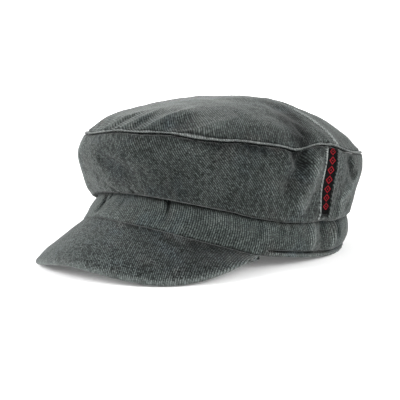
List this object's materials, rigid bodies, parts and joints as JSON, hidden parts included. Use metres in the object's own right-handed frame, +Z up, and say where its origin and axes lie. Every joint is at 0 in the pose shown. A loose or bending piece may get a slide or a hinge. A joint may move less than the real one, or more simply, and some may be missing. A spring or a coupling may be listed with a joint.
{
  "type": "cadet cap",
  "caption": "Soft cadet cap in washed charcoal-grey twill: domed flat top, side wall, short headband, curved peak and a narrow woven tape on one side seam.",
  "frame": {"origin": "on the table under the middle of the resting cap's bounding box", "axes": "+Z up, -Y out of the cap's front over the visor, +X towards the wearer's left, where the label tape is"},
  "size_m": [0.1934, 0.2638, 0.114],
  "materials": {
    "crown_twill": "matt, washed, lighter at worn seams",
    "band_twill": "matt, washed",
    "visor_twill": "matt, washed, over board",
    "hem_twill": "matt, worn lighter",
    "label_tape": "black woven tape with a red woven motif"
  },
  "bodies": {
    "root": {"crown_top_front": "crown_twill", "crown_top_rear": "crown_twill", "crown_side_front": "crown_twill", "crown_side_rear": "crown_twill", "headband": "band_twill", "hem_edge": "hem_twill", "visor": "visor_twill", "label": "label_tape"}
  },
  "joints": []
}
